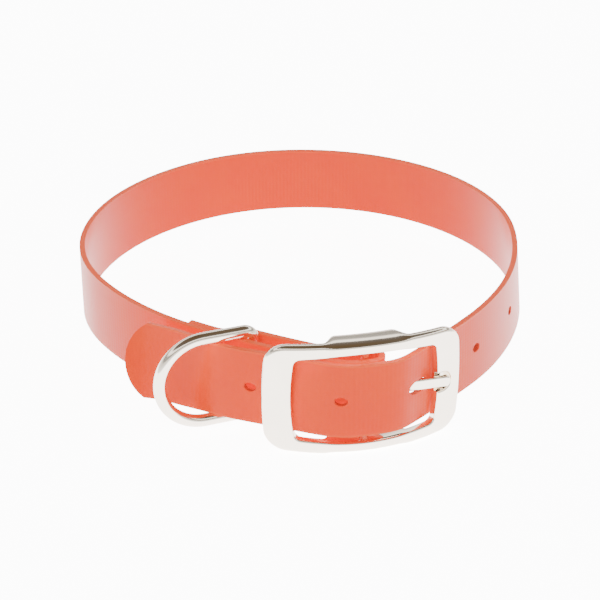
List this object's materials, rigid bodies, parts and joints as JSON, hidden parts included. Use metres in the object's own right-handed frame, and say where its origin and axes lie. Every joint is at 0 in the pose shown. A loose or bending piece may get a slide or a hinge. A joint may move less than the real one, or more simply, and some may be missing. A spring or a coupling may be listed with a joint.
{
  "type": "buckled animal collar",
  "caption": "Coated webbing animal collar with a polished centre-bar buckle, punched holes and a captured D-ring.",
  "frame": {"origin": "middle of the neck opening, on the plane the buckle stands on", "axes": "+Z along the neck axis, -Y through the middle of the buckle, +X the side the tongue points to"},
  "size_m": [0.1645, 0.1884, 0.041],
  "materials": {
    "coat": "gloss",
    "webbing": "matte",
    "metal": "polished",
    "wire": "polished"
  },
  "bodies": {
    "strap": {"strap_coating": "coat", "strap_webbing": "webbing", "rivet_posts": "metal", "rivet_caps": "metal"},
    "buckle": {"buckle_frame": "metal", "centre_bar": "metal"},
    "tongue": {"tongue": "metal"},
    "d_ring": {"d_ring": "wire"}
  },
  "joints": [
    {"name": "buckle_tilt", "type": "hinge", "parent": "strap", "child": "buckle", "pos_m": [0, -0.0928, 0.0205], "axis": [0, 0, 1], "range_deg": [0, 1.5]},
    {"name": "tongue_turn", "type": "hinge", "parent": "strap", "child": "tongue", "pos_m": [0, -0.0928, 0.0205], "axis": [0, 0, 1], "range_deg": [-1, 0]},
    {"name": "ring_swing", "type": "hinge", "parent": "strap", "child": "d_ring", "pos_m": [-0.03254, -0.07072, 0.0205], "axis": [0, 0, 1], "range_deg": [-10, 55]}
  ]
}
